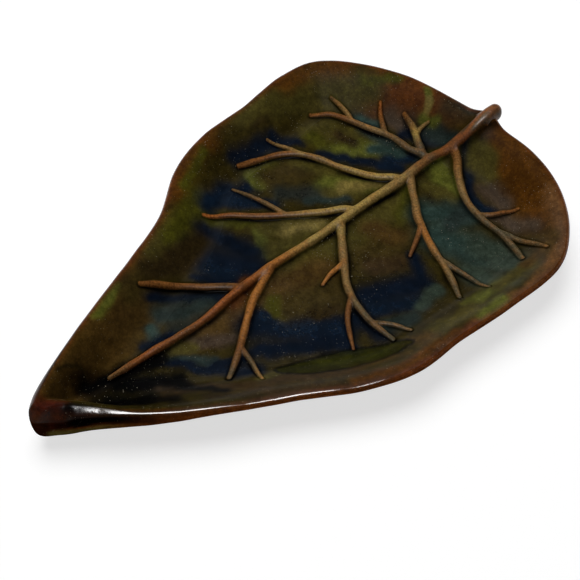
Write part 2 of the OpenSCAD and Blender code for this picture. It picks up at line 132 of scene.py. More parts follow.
# Strokes of glaze on the leaf, some painted shade and some painted reflection, as marked: colour, a line from one
# point to another, and half its width
STROKES = [
    ("rust", -4, -83, -14, -62, 3.5), ("rust", -14, -62, -22, -44, 3), ("rust", -22, -44, -32, -18, 3.5),
    ("rust", -40, -11, -49, 9, 4), ("rust", -49, 9, -51, 38, 4), ("rust", -53, 39, -48, 63, 5),
    # The bark and ash strokes left of the stem's root, at y 80 to 84, are painted shade where the stem meets the rim
    ("rust", -37, 74, -10, 85, 3), ("redbrown", -32, 68, -14, 81, 7), ("bark", -12, 80, -5, 83, 4),
    ("ash", -10, 83, -4, 84, 2), ("rust", 8, 83, 34, 81, 5), ("rust", 17, 81, 36, 74, 7),
    ("rimlight", 35, 80, 50, 71, 3), ("rimlight", 50, 71, 55, 54, 2), ("rimlight", 56, 53, 55, 29, 1.5),
    ("redbrown", 56, 29, 58, 10, 2), ("redbrown", 58, 10, 54, -5, 2.5), ("bark", 54, -6, 36, -33, 2),
    ("bark", 34, -32, 11, -62, 1.5), ("umber", -7, -74, -10, -58, 7), ("umber", -10, -65, -15, -45, 6.5),
    ("umber", -1, -81, -3, -71, 4), ("green", -16, -56, -21, -46, 1.5), ("brown", -18, -43, -24, -28, 4),
    ("olive", -25, -29, -31, -16, 3), ("moss", -27, -21, -35, -4, 3.5), ("moss", -40, -6, -47, 6, 2),
    ("darkolive", -39, 1, -44, 15, 4), ("darkolive", -47, 18, -48, 35, 5.5), ("cocoa", -47, 26, -47, 37, 1),
    ("olive", -51, 24, -51, 38, 3), ("olive", -47, 37, -47, 47, 4), ("olive", -46, 53, -36, 66, 4.5),
    ("moss", -39, 66, -32, 75, 1.5), ("teal", -32, 58, -26, 60, 2), ("mauve", -25, 66, -18, 68, 3),
    ("navy", -17, 65, -4, 73, 2.5), ("steel", -12, 71, -4, 73, 2.5), ("green", -22, 79, -19, 77, 1),
    ("olivetan", -19, 77, -16, 72, 1), ("green", -16, 72, -12, 74, 1.5), ("navy", -42, 15, -40, 33, 3),
    ("navy", -42, 30, -36, 36, 2), ("darkolive", -43, 36, -40, 45, 3), ("olive", -38, 41, -35, 48, 3),
    ("moss", -35, 41, -26, 42, 2.5), ("green", -24, 45, -19, 53, 3.5), ("olive", -32, 47, -27, 52, 3),
    ("cocoa", -31, 48, -25, 49, 2), ("steel", -27, 57, -17, 58, 2.5), ("navy", -28, 38, -7, 54, 2),
    ("deepblue", -12, 53, -7, 62, 2.5), ("teal", -19, 53, -12, 58, 2), ("deepblue", -33, -4, -35, 5, 3),
    ("navy", -31, 5, -32, 14, 3.5), ("deepblue", -35, -2, -21, 14, 2), ("moss", -36, 17, -34, 24, 2),
    ("green", -35, 15, -30, 16, 2), ("brown", -30, 20, -25, 33, 4), ("olive", -30, 31, -20, 36, 2.5),
    ("ash", -23, 18, -15, 28, 3), ("green", -17, 32, -8, 42, 3), ("olive", -13, 30, -9, 37, 2.5),
    ("steel", -16, 22, -8, 33, 1.5), ("olivetan", -13, 35, -6, 45, 2), ("cocoa", -21, -33, -21, -23, 3),
    ("moss", -28, -7, -19, 4, 1.5), ("green", -15, 3, -8, 0, 2), ("olive", -15, 6, -6, 20, 3),
    ("olivetan", -10, 10, -5, 20, 2.5), ("olive", -7, 2, -3, 15, 3), ("navy", -25, -10, -11, -3, 3.5),
    ("navy", -19, -17, -6, -7, 5), ("deepblue", -15, -18, -7, -14, 3), ("cocoa", -20, -25, -23, -14, 3.5),
    ("navy", -14, -23, -5, -15, 1.5), ("navy", -15, -38, -4, -21, 2), ("deepblue", -4, -26, -1, -18, 2),
    ("steel", -9, -39, -3, -26, 3), ("teal", -8, -44, -3, -45, 1.5), ("ash", -2, -38, 1, -29, 3),
    ("navy", -3, -49, -1, -41, 2), ("umber", 5, -32, 4, -16, 4.5), ("redbrown", 1, -20, -2, -12, 2.5),
    ("mauve", 5, -37, 11, -28, 2), ("olive", 2, -45, 6, -38, 2), ("steel", 5, -46, 14, -36, 1.5),
    # The black strokes near the tip on this line are deep pooled glaze and a painted reflection of the dark room
    ("navy", 1, -51, 19, -36, 1.5), ("black", -2, -71, 3, -48, 3.5), ("black", 4, -60, 20, -44, 2),
    ("navy", 15, -38, 19, -29, 2), ("navy", 11, -20, 28, 0, 5), ("deepblue", 10, -16, 30, -2, 3.5),
    ("navy", 19, -24, 32, -4, 3), ("olive", 9, -12, 14, -11, 1.5), ("olive", 0, 2, 4, 16, 4),
    ("umber", 6, -6, 8, 9, 5), ("brown", 13, -6, 17, 5, 5), ("cocoa", 19, -3, 22, 3, 2),
    ("black", 5, 73, 16, 64, 0.5), ("moss", 7, -9, 12, -12, 1.5), ("olive", 5, 26, 3, 46, 4.5),
    ("moss", 10, 39, 1, 50, 2), ("brown", 13, 23, 14, 37, 5), ("umber", 5, 31, 13, 35, 3),
    ("bark", 17, 22, 21, 29, 3), ("navy", 24, 13, 31, 29, 4.5), ("deepblue", 29, 12, 36, 24, 3),
    ("navy", 22, 34, 32, 30, 2), ("sage", 37, 23, 36, 31, 2), ("navy", 28, 6, 37, 8, 3),
    ("navy", 27, -7, 36, -2, 2), ("steel", 36, 11, 39, 19, 2), ("green", -2, 64, 10, 61, 3.5),
    ("olive", 2, 56, 12, 59, 2), ("teal", 11, 48, 20, 57, 4.5), ("teal", 21, 45, 36, 51, 5.5),
    ("steel", 20, 52, 19, 59, 3), ("sage", 32, 53, 46, 56, 4.5), ("sage", 36, 43, 49, 48, 3),
    ("navy", 2, 75, 17, 63, 2), ("deepblue", 19, 63, 25, 65, 2), ("mauve", 17, 70, 24, 70, 3),
    ("olive", 7, 74, 13, 74, 3), ("olive", 5, 76, 11, 77, 2.5), ("mauve", 28, 65, 38, 69, 2.5),
    ("green", 47, 34, 48, 45, 2.5), ("green", 54, 32, 54, 40, 2), ("olive", 48, 20, 49, 32, 3),
    ("olive", 48, 45, 49, 55, 3), ("umber", 48, 57, 46, 68, 2.5), ("umber", 42, -6, 49, 15, 3),
    ("bark", 31, -29, 44, -9, 3), ("olive", 28, -30, 29, -24, 1.5), ("bark", 12, -54, 29, -34, 2),
    # The black strokes near the tip on this line and the next two are deep pooled glaze and a painted reflection of
    # the dark room
    ("darkolive", 29, -23, 48, 10, 2), ("moss", 34, -13, 43, 4, 1.5), ("black", 6, -69, 13, -61, 4.5),
    ("black", 13, -60, 21, -52, 3.5), ("darkolive", 22, -50, 30, -42, 3), ("black", 3, -63, 12, -48, 2.5),
    ("black", 14, -49, 26, -41, 1.5), ("cocoa", 25, -47, 35, -36, 1.5), ("maroon", -1, -88, 4, -82, 2.5),
    ("black", 6, -81, 9, -77, 1.5), ("black", -3, -88, -1, -90, 1), ("cocoa", -7, -76, -7, -72, 0.5),
    ("cocoa", -7, -72, -6, -70, 0.5), ("cocoa", -6, -70, -4, -69, 0.5), ("navy", 21, -33, 24, -28, 2),
    ("darkolive", 45, 25, 44, 31, 2), ("rust", 48, -12, 52, -1, 1.5), ("rust", 52, -1, 53, 7, 1.5),
    ("rust", 53, 7, 54, 21, 1.5),
]
# Colours of the thin glaze along each cord, from its root to its end
CORD_COLOURS = {
    "midrib": ["sienna", "redclay", "sienna", "dimtan", "tanolive", "tanolive", "tanolive", "orange", "redclay",
               "redclay", "sienna", "redclay", "dusk"],
    "vein_left_1": ["steel", "greytan", "tanolive", "dusk", "sienna"],
    "vein_left_2": ["greytan", "dusk", "dimtan", "sienna", "sienna"],
    "vein_left_3": ["tanolive", "tanolive", "dimtan", "sienna", "sienna"],
    "vein_left_4": ["tanolive", "tanolive", "sienna", "sienna", "redclay"],
    "vein_left_5": ["bark", "sienna", "sienna"],
    "vein_right_1": ["sienna", "dimtan", "greytan", "greytan"],
    "vein_right_2": ["dimtan", "dimtan", "orange", "dimtan", "greytan"],
    "vein_right_3": ["tanolive", "dimtan", "dimtan", "greytan", "greytan"],
    "vein_right_4": ["orange", "orange", "orange", "sienna", "greytan"],
    "twig_left_1a": ["tanolive", "dimtan", "dimtan"],
    "twig_left_2a": ["dusk", "sienna", "redclay"],
    "twig_left_2b": ["dimtan", "dimtan", "dusk"],
    "twig_left_3a": ["tanolive", "dimtan", "dusk"],
    "twig_left_4a": ["dimtan", "dusk", "dusk"],
    "twig_right_1a": ["greytan", "sienna", "sienna"],
    "twig_right_1b": ["greytan", "greytan", "dusk"],
    "twig_right_2a": ["sienna", "sienna"],
    "twig_right_2b": ["greytan", "greytan"],
    "twig_right_3a": ["orange", "orange"],
    "twig_right_3b": ["sienna", "sienna"],
    "twig_right_3c": ["bark", "greytan", "greytan"],
    "twig_right_4a": ["sienna", "greytan", "dimtan"],
}
# Strokes on the stem: the bark strokes along its two edges are painted shade on its flanks; the umber and the cocoa
# at its end are glaze
STEM_STROKES_AND_SHADE = [
    ("bark", -2.1, 92, -2.2, 76, 0.7), ("bark", 2.1, 90, 1.4, 77, 0.6), ("umber", 0.5, 84, 0.1, 78, 0.6),
    ("cocoa", -1, 92, 1, 90, 0.8),
]
# The lens in the near wall, painted dark green as the reflection of the far wall: its outline, and the darker line
# round it
LENS_REFLECTION = [[27, -25], [30, -16], [34, -6], [39, 3], [43, 11], [47, 12], [47, 9], [46, 3], [44, -4], [40, -12],
        [35, -20]]

# Meshes: stations round the rim, points across the dish, and points over the lip and down the wall
STATIONS = 760
ACROSS = 92
LIP_STEPS = 12
WALL_STEPS = 16
UNDER_STEPS = 8
SPINE_FROM = 22
SPINE_TO = 150


# The way that the camera looks over the leaf, and the shaded side of its cords
AWAY = (-0.777, 0.629)
SHADED = (0.9, -0.43)


def fade(u):
    """1 at u = 0, easing down to 0 at u = 1."""
    c = np.clip(u, 0, 1)
    return 1 - c * c * (3 - 2 * c)


def rise(x, low, high):
    """0 below low, easing up to 1 above high."""
    return 1 - fade((np.asarray(x, float) - low) / (high - low))


def mixed(a, b, t):
    return a + (b - a) * t


def smooth_curve(points, steps, closed=False):
    """The same smooth curve through points as in the CAD model, with so many steps to a span."""
    p = np.array(points, float)
    q = np.vstack([p[-1:], p, p[:2]]) if closed else np.vstack([2 * p[0] - p[1], p, 2 * p[-1] - p[-2]])
    a, b, c, d = q[:-3], q[1:-2], q[2:-1], q[3:]
    k, m, n = (np.sqrt(np.linalg.norm(e, axis=1))[:, None] for e in (b - a, c - b, d - c))
    u = (c - b) + m * ((b - a) / k - (c - a) / (k + m))
    v = (c - b) + m * ((d - c) / n - (d - b) / (m + n))
    t = (np.arange(steps) / steps)[None, :, None]
    u, v, b, c = u[:, None], v[:, None], b[:, None], c[:, None]
    curve = (2 * t**3 - 3 * t**2 + 1) * b + (t**3 - 2 * t**2 + t) * u + (3 * t**2 - 2 * t**3) * c + (t**3 - t**2) * v
    curve = curve.reshape(-1, 2)
    return curve if closed else np.vstack([curve, p[-1]])


def lengths(path):
    return np.concatenate([[0], np.cumsum(np.linalg.norm(np.diff(path, axis=0), axis=1))])


def along(path, s):
    """Points at distances s along a path, which runs straight on past its ends."""
    l = lengths(path)
    p = np.column_stack([np.interp(s, l, path[:, 0]), np.interp(s, l, path[:, 1])])
    first, last = (path[0] - path[1]) / l[1], (path[-1] - path[-2]) / (l[-1] - l[-2])
    return p + np.clip(-s, 0, None)[:, None] * first + np.clip(s - l[-1], 0, None)[:, None] * last


def nearest(points, path):
    """Distance of each point from a path, and how far along the path its nearest place is."""
    best, where = np.full(len(points), np.inf), np.zeros(len(points))
    l = lengths(path)
    for k in range(len(path) - 1):
        step = path[k + 1] - path[k]
        t = np.clip((points - path[k]) @ step / (step @ step), 0, 1)
        d = np.linalg.norm(points - path[k] - t[:, None] * step, axis=1)
        near = d < best
        best[near], where[near] = d[near], l[k] + t[near] * (l[k + 1] - l[k])
    return best, where


def ripples(points, wavelength, seed, waves=9):
    """Smooth random ripples over points, from about 0 to 1."""
    draw = np.random.default_rng(seed)
    angle, phase = draw.uniform(0, 2 * math.pi, (2, waves))
    number = 2 * math.pi / (wavelength * draw.uniform(0.7, 1.5, waves))
    total = sum(np.cos(n * (points[:, 0] * math.cos(a) + points[:, 1] * math.sin(a)) + f)
                for n, a, f in zip(number, angle, phase))
    return np.clip(0.5 + total / (2.2 * math.sqrt(waves)), 0, 1)


# The drawn leaf is placed so that its rim fills the CAD dish's box
dish_low, dish_high = (np.array(corner[:2]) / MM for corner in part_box("dish_body"))
drawn_rim = smooth_curve([TIP, *RIGHT_EDGE, NOTCH, *LEFT_EDGE[::-1]], 40, closed=True)
drawn_low = drawn_rim.min(0)
stretch = (dish_high - dish_low) / (drawn_rim.max(0) - drawn_low)


def placed(drawn):
    return dish_low + (np.array(drawn, float) - drawn_low) * stretch


half = len(drawn_rim) // 2
right_rim = placed(drawn_rim[:half + 1])
left_rim = placed(np.vstack([drawn_rim[half:], drawn_rim[:1]]))
notch = placed(NOTCH)
tip_y = placed(TIP)[1]


def crest_z(y):
    return RIM_H + TIP_RISE * fade((y - tip_y) / TIP_REACH)


def wall_run(y):
    return mixed(SIDE_RUN, TIP_RUN, fade((y - tip_y) / TIP_REACH))


SOFT_VALLEY = 3
NOSE_LIP = 1.3
SHELF = 2.2
SHELF_SLOPE = 0.54
NOSE_SLOPE = 1.05


def from_edge(p):
    """Distance from the rim's edge, eased where the two sides are as near."""
    right, left = nearest(p, right_rim[::4])[0], nearest(p, left_rim[::4])[0]
    ease = np.clip(SOFT_VALLEY - np.abs(right - left), 0, None) / SOFT_VALLEY
    deep = rise(np.minimum(right, left), LIP_R, LIP_R + 2 * SOFT_VALLEY)
    return np.minimum(right, left) - ease**2 * SOFT_VALLEY / 4 * deep


def crest_inset(p):
    """Radius of the lip, and width of the sloping shelf on it, which is there only near the tip."""
    beyond_tip = p[:, 1] - tip_y
    radius = LIP_R + NOSE_LIP * fade((beyond_tip - 4) / 14)
    shelf = SHELF * fade((beyond_tip - 10) / 15) * rise(p[:, 0], -1.5, 1.5)
    return radius, shelf


def top_z(p):
    """Height of the dish's upper surface without its cords."""
    q = np.clip((from_edge(p) - sum(crest_inset(p))) / wall_run(p[:, 1]), 0, 1)
    return FLOOR_Z + (crest_z(p[:, 1]) - FLOOR_Z) * (1 - q * q)**2


TAPER = 6


# Cords as (path, widths along it, heights along it)
def cord(kind, drawn):
    root_w, end_w, height = CORD_SIZES[kind]
    path = smooth_curve(placed(drawn), 8)
    if kind == "midrib":
        path = np.vstack([path[0] + [0, STEM_OVER], path])
    l = lengths(path)
    wide = mixed(root_w, end_w, l / l[-1])
    high = height * mixed(1, wide / root_w, 0.5)
    taper = rise(l, l[-1] - TAPER, l[-1] + 0.5)
    wide, high = wide * mixed(1, 0.72, taper), high * mixed(1, 0.38, taper)
    if kind == "midrib":
        stem = fade(l / (STEM_OVER + SIDE_RUN))
        wide, high = wide + (STEM_W - root_w) * stem, mixed(height, STEM_H, stem)
    uneven = ripples(path, 11, 5)
    return path, wide * mixed(0.93, 1.08, uneven), high * mixed(0.9, 1.05, uneven)


cords = {"midrib": cord("midrib", MIDRIB)}
cords.update({name: cord(name.split("_")[0], drawn) for name, drawn in CORDS.items()})
# The midrib goes on towards the tip as a soft fold
fold_path = smooth_curve(placed([[-1, 31], [-1, 27], [-1.4, 20], [-2, 13]]), 8)
cords["fold"] = fold_path, np.linspace(2, 4.5, len(fold_path)), np.linspace(1.1, 0.2, len(fold_path))

UNION = 3.5
STEM_FILLET = 0.5
FAR = 4
# Strength of the dark line beside each kind of cord, which is pooled glaze and painted shade
POOL_AND_SHADE_AMOUNT = {"midrib": 0.85, "vein": 1, "twig": 0.85}


def stem_fillet(p):
    """Height of the clay that is smoothed up to the stem where it crosses the rim."""
    path, wide, high = cords["midrib"]
    d, s = nearest(p, path)
    r = d / (np.interp(s, lengths(path), wide) / 2)
    return STEM_FILLET * STEM_H * np.exp(-(r / 2)**2) * fade((s - STEM_OVER) / SIDE_RUN)


def relief(p):
    """Height of the cords over points, their distance from the nearest cord in half widths, and the dark line beside
    them: pooled glaze, with painted shade that makes it stronger on their shaded side.
    """
    total, nearby, pool_and_shade = np.zeros(len(p)), np.full(len(p), float(FAR)), np.zeros(len(p))
    for name, (path, wide, high) in cords.items():
        reach = wide.max() / 2 * FAR
        near = np.all((p > path.min(0) - reach) & (p < path.max(0) + reach), axis=1)
        if not near.any():
            continue
        d, s = nearest(p[near], path)
        l = lengths(path)
        r = d / (np.interp(s, l, wide) / 2)
        total[near] += (np.interp(s, l, high) * np.exp(-(r / 1.02)**3.5))**UNION
        if name == "midrib":
            total[near] += stem_fillet(p[near])**UNION
        if name != "fold":
            nearby[near] = np.minimum(nearby[near], r)
            # Painted shade: the dark line beside a cord is made stronger on its shaded side
            shaded = (p[near] - along(path, s)) @ SHADED / np.maximum(d, 0.01)
            line = POOL_AND_SHADE_AMOUNT[name.split("_")[0]] * rise(r, 0.85, 1.15) * fade((r - 1.2) / 1.5)
            line = line * mixed(0.8, 1.3, shaded)
            pool_and_shade[near] = np.maximum(pool_and_shade[near], line)
    pool_and_shade *= mixed(0.5, 1.1, ripples(p, 14, 31)) * rise(nearby, 0.85, 1.15)
    return total**(1 / UNION), nearby, pool_and_shade


def linear(colour):
    c = np.array(colour) / 255
    return np.where(c <= 0.04045, c / 12.92, ((c + 0.055) / 1.055)**2.4)


def cord_glaze(p):
    """Colours of the cords at points, blended where two cords meet."""
    total, weights = np.zeros((len(p), 3)), np.full(len(p), 1e-9)
    for name, colours in CORD_COLOURS.items():
        path, wide, _ = cords[name]
        reach = wide.max() * 2
        near = np.all((p > path.min(0) - reach) & (p < path.max(0) + reach), axis=1)
        if not near.any():
            continue
        d, s = nearest(p[near], path)
        weight = np.exp(-(2 * d / wide.mean())**2)
        stops = np.linspace(0, lengths(path)[-1], len(colours))
        values = np.array([linear(GLAZES[c]) for c in colours])
        total[near] += weight[:, None] * np.column_stack([np.interp(s, stops, v) for v in values.T])
        weights[near] += weight
    return total / weights[:, None]


def painted(p, strokes, colour, seed, wander=0.5):
    """Colours of strokes over earlier colours, with edges that wander: glaze, and in places painted shade and painted
    reflection.
    """
    shift = np.column_stack([ripples(p, 9, seed) + 0.5 * ripples(p, 4, seed + 1),
                             ripples(p, 9, seed + 2) + 0.5 * ripples(p, 4, seed + 3)]) - 0.75
    q = p + 2 * wander * shift
    for name, ax, ay, bx, by, half_width in strokes:
        d = nearest(q, np.array([[ax, ay], [bx, by]], float))[0]
        cover = np.exp(-0.7 * (d / half_width)**3)
        colour = mixed(colour, linear(GLAZES[name]), cover[:, None])
    return colour


def solid(name, points, faces, node, values):
    """A closed mesh that stands for a CAD node, its faces turned outward, with named values at its points."""
    p = np.asarray(points) * MM
    fan = np.array([[f[0], f[k], f[k + 1]] for f in faces for k in range(1, len(f) - 1)])
    a, b, c = p[fan[:, 0]], p[fan[:, 1]], p[fan[:, 2]]
    if np.einsum("ij,ij->i", a, np.cross(b, c)).sum() < 0:
        faces = [f[::-1] for f in faces]
    mesh = bpy.data.meshes.new(name)
    mesh.from_pydata(p.tolist(), [], faces)
    mesh.polygons.foreach_set("use_smooth", [True] * len(mesh.polygons))
    for key, value in values.items():
        if value.ndim == 2:
            flat = np.column_stack([value, np.ones(len(value))]).astype(np.float32)
            mesh.attributes.new(key, "FLOAT_COLOR", "POINT").data.foreach_set("color", flat.ravel())
        else:
            mesh.attributes.new(key, "FLOAT", "POINT").data.foreach_set("value", value.astype(np.float32))
    mesh.update()
    piece = bpy.data.objects.new(name, mesh)
    bpy.context.scene.collection.objects.link(piece)
    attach(piece, "root")
    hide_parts(node)
    return piece


def grid_faces(rows, columns, wrap_rows=False, wrap_columns=False):
    """Quads between the points of a grid that is stored row by row."""
    faces = []
    for i in range(rows if wrap_rows else rows - 1):
        for j in range(columns if wrap_columns else columns - 1):
            a, b = i * columns, (i + 1) % rows * columns
            k = (j + 1) % columns
            faces.append((a + j, b + j, b + k, a + k))
    return faces


def leaf_values(p, vein, pool_and_shade):
    """Glaze colours and finish at points on the leaf's upper side, with painted reflection and painted shade in
    places.
    """
    edge = from_edge(p)
    away = p @ AWAY
    colour = painted(p, STROKES, np.tile(linear(GLAZES["darkolive"]), (len(p), 1)), 20)
    bare = fade((edge - 0.6) / 2.2) * mixed(0.4, 1, ripples(p, 8, 33))
    colour = mixed(colour, linear(GLAZES["edge"]), (0.75 * bare)[:, None])
    # Painted reflection: the lens in the near wall is dark green where it would mirror the far wall, with a black
    # line round it
    outline = placed_ring(LENS_REFLECTION)
    off = nearest(p + 0.8 * (ripples(p, 6, 34)[:, None] - 0.5), outline)[0]
    within = rise(np.where(inside(p, outline), off, -off), -0.2, 0.4)
    colour = mixed(colour, linear((30, 33, 5)), (0.75 * within)[:, None])
    colour = mixed(colour, linear(GLAZES["black"]), (0.8 * fade((off - 0.2) / 0.6))[:, None])
    far_wall = np.maximum(rise(away, 0, 25), rise(-p[:, 0], -1, 4))
    wall = fade((edge - 14) / 8)
    gloss = mixed(1, mixed(0.5, 0.2, far_wall), wall)
    shine = mixed(0.4, 0.1, within) * mixed(1, mixed(0.6, 0.06, far_wall), wall)
    shine = shine * mixed(0.04, 1, rise(p[:, 1] - tip_y, 28, 44))
    # The stem's strokes add painted shade along its edges to the cords' glaze
    return {"glaze": colour, "cord_glaze": painted(p, STEM_STROKES_AND_SHADE, cord_glaze(p), 40, 0.3), "vein": vein,
            "pool_and_shade": pool_and_shade, "gloss": gloss, "shine": shine}


def placed_ring(points):
    ring = smooth_curve(points, 4, closed=True)
    return np.vstack([ring, ring[:1]])


def inside(p, ring):
    """Whether points lie inside a closed ring."""
    odd = np.zeros(len(p), bool)
    for a, b in zip(ring[:-1], ring[1:]):
        crosses = (a[1] > p[:, 1]) != (b[1] > p[:, 1])
        at = a[0] + (p[:, 1] - a[1]) * (b[0] - a[0]) / (b[1] - a[1] or 1)
        odd ^= crosses & (p[:, 0] < at)
    return odd


def dish_body():
    side = STATIONS // 2
    rim = np.vstack([along(path, np.linspace(0, lengths(path)[-1], side + 1))[:side]
                     for path in (right_rim, left_rim)])
    ahead, behind = np.roll(rim, -1, 0), np.roll(rim, 1, 0)
    run = (ahead - behind) / np.linalg.norm(ahead - behind, axis=1)[:, None]
    inward = np.column_stack([-run[:, 1], run[:, 0]])
    from_notch = np.linalg.norm(rim - notch, axis=1)
    rim = rim - inward * (1.4 * np.exp(-(from_notch / 4.5)**2))[:, None]
    radius, shelf = (v[:, None] for v in crest_inset(rim))
    beyond_tip = rim[:, 1:] - tip_y
    toward_tip_centre = placed(TIP) + [0, 12] - rim
    toward_tip_centre /= np.linalg.norm(toward_tip_centre, axis=1)[:, None]
    inward = mixed(inward, toward_tip_centre, fade((beyond_tip - 6) / 10))
    crest = rim + inward * (radius + shelf)
    share = np.concatenate([np.arange(side), side - np.arange(side)]) / side
    spine_y = tip_y + mixed(SPINE_FROM, SPINE_TO, share) * stretch[1]
    spine = np.column_stack([np.full(STATIONS, placed([0, 0])[0]), spine_y])

    # Upper side: from each point of the crest to the middle line
    u = (np.arange(ACROSS) / ACROSS)**1.12
    top = crest[:, None] + (spine - crest)[:, None] * u[None, ::-1, None]
    flat = top.reshape(-1, 2)
    height, vein, pool_and_shade = relief(flat)
    top_height = (top_z(flat) + np.maximum(height * rise(vein, 1, 1.6), stem_fillet(flat))).reshape(STATIONS, ACROSS)

    # Lip and outer wall
    z = crest_z(rim[:, 1])
    angle = np.radians(np.linspace(90, 0, LIP_STEPS + 1))[1:]
    crest_height = top_height[:, -1:]
    on_shelf = np.clip(1 - np.arange(1, LIP_STEPS + 1) / 5, 0, 1)[None]
    lip_in = radius * (1 - np.cos(angle))[None] + shelf * on_shelf
    lip = rim[:, None] + inward[:, None] * lip_in[:, :, None]
    slope = mixed(NOSE_SLOPE, SHELF_SLOPE, rise(beyond_tip, 7, 10))
    lip_height = crest_height - radius * (1 - np.sin(angle))[None] - slope * shelf * (1 - on_shelf)
    t = np.linspace(0, 1, WALL_STEPS + 1)[1:]
    reach = wall_run(rim[:, 1])
    hang = mixed(SIDE_HANG, TIP_HANG, fade((rim[:, 1] - tip_y) / TIP_REACH))
    start = lip_height[:, -1]
    low = mixed(start, UNDER_Z, hang)
    weights = (1 - t)**3, 3 * (1 - t)**2 * t, 3 * (1 - t) * t**2, t**3
    wall_in = reach[:, None] * (UNDER_TURN * weights[2] + weights[3])
    wall_height = start[:, None] * weights[0] + low[:, None] * weights[1] + UNDER_Z * (weights[2] + weights[3])
    toward = (spine - rim) / np.linalg.norm(spine - rim, axis=1)[:, None]
    wall = rim[:, None] + toward[:, None] * wall_in[:, :, None]
    under_share = np.arange(1, UNDER_STEPS) / UNDER_STEPS
    under = wall[:, -1:] + (spine[:, None] - wall[:, -1:]) * under_share[None, :, None]
    under_height = np.full((STATIONS, UNDER_STEPS - 1), float(UNDER_Z))

    place = np.concatenate([top, lip, wall, under], axis=1)
    height = np.concatenate([top_height, lip_height, wall_height, under_height], axis=1)
    columns = place.shape[1]
    grid = np.concatenate([place, height[:, :, None]], axis=2).reshape(-1, 3)
    line = np.column_stack([spine[:side + 1], top_z(spine[:side + 1])])
    line_relief, line_vein, line_pool_and_shade = relief(line[:, :2])
    line[:, 2] += line_relief * rise(line_vein, 1, 1.6)
    under_line = np.column_stack([spine[:side + 1], np.full(side + 1, float(UNDER_Z))])
    points = np.vstack([grid, line, under_line])

    # Uneven hand work lowers the surface a little
    depth = 0.35 * ripples(points, 26, 3) + 0.12 * ripples(points, 9, 4)
    depth += 0.6 * np.exp(-((points[:, 1] - tip_y - 26) / 9)**2) * rise(points[:, 0], 3, 8)
    points[:, 2] -= depth * rise(points[:, 2], UNDER_Z + 1, FLOOR_Z)

    faces = grid_faces(STATIONS, columns, wrap_rows=True)
    first_line, first_under = len(grid), len(grid) + side + 1
    for i in range(STATIONS):
        j = (i + 1) % STATIONS
        a, b = (k if k <= side else STATIONS - k for k in (i, i + 1))
        faces.append((first_line + a, first_line + b, j * columns, i * columns))
        faces.append((first_under + b, first_under + a, (i + 1) * columns - 1, (j + 1) * columns - 1))
    faces = [tuple(dict.fromkeys(f)) for f in faces]

    def over_all(upper, line_part, rest):
        whole = np.full((STATIONS, columns), float(rest))
        whole[:, :ACROSS] = upper.reshape(STATIONS, ACROSS)
        return np.concatenate([whole.ravel(), line_part, np.full(side + 1, float(rest))])

    values = leaf_values(points[:, :2], over_all(vein, line_vein, FAR), over_all(pool_and_shade, line_pool_and_shade, 0))

    # The outer wall: dark on its upper part at the nose, from dark glaze and a painted reflection of a dark room,
    # red-brown and then olive lower down, from pooled glaze and a painted reflection of the floor
    turn = np.zeros((STATIONS, columns))
    turn[:, ACROSS:ACROSS + LIP_STEPS] = np.linspace(0, 1, LIP_STEPS)
    turn[:, ACROSS + LIP_STEPS:] = 1
    outside = turn**mixed(1, 0.35, fade((beyond_tip - 12) / 15))
    turn, outside = (np.concatenate([v.ravel(), np.zeros(side + 1), np.ones(side + 1)]) for v in (turn, outside))
    level = (points[:, 2] - UNDER_Z) / (crest_z(points[:, 1]) - UNDER_Z)
    nose = fade((points[:, 1] - tip_y - 18) / 20)
    level = level + 0.25 * (ripples(points, 12, 8) - 0.5)
    beyond = points[:, 1] - tip_y
    # Black on the upper wall at the nose: dark glaze, and a painted reflection of a dark room in front of it
    dark = nose * rise(level, 0.42, 0.58) * rise(beyond, 2, 5)
    wall_colour = mixed(linear(GLAZES["wall"]), linear(GLAZES["black"]), dark[:, None])
    from_tip = np.linalg.norm(points[:, :2] - placed(TIP), axis=1)
    blotch = ripples(points, 7, 35)
    red = fade((from_tip - 5) / 7) * mixed(0.6, 1, blotch)
    wall_colour = mixed(wall_colour, linear(GLAZES["maroon"]), red[:, None])
    wall_colour = mixed(wall_colour, linear(GLAZES["black"]), (0.9 * red * fade((blotch - 0.35) / 0.25))[:, None])
    # Olive low on the wall near the tip: pooled glaze, and a painted reflection of the pale floor
    olive = fade((level - 0.4) / 0.1) * fade((beyond - 12) / 14) * rise(beyond, 2, 4) * rise(points[:, 0], 0, 2)
    wall_colour = mixed(wall_colour, linear(GLAZES["olivetan"]), olive[:, None])
    values["glaze"] = mixed(values["glaze"], wall_colour, outside[:, None])
    values["gloss"] = mixed(mixed(values["gloss"], 1, rise(turn, 0, 0.12)), 0.4, rise(turn, 0.5, 1))
    values["shine"] = mixed(mixed(values["shine"], 0.5, rise(turn, 0, 0.12)), 0, rise(turn, 0.3, 0.7))
    return solid("dish", points, faces, "dish_body", values)


LIFT = {"midrib": 0.05, "vein": 0.035, "twig": 0.02}
SKIRT = 1.5
DEPTH = 0.25
CORD_STEP = 0.45
CORD_COLUMNS = 17


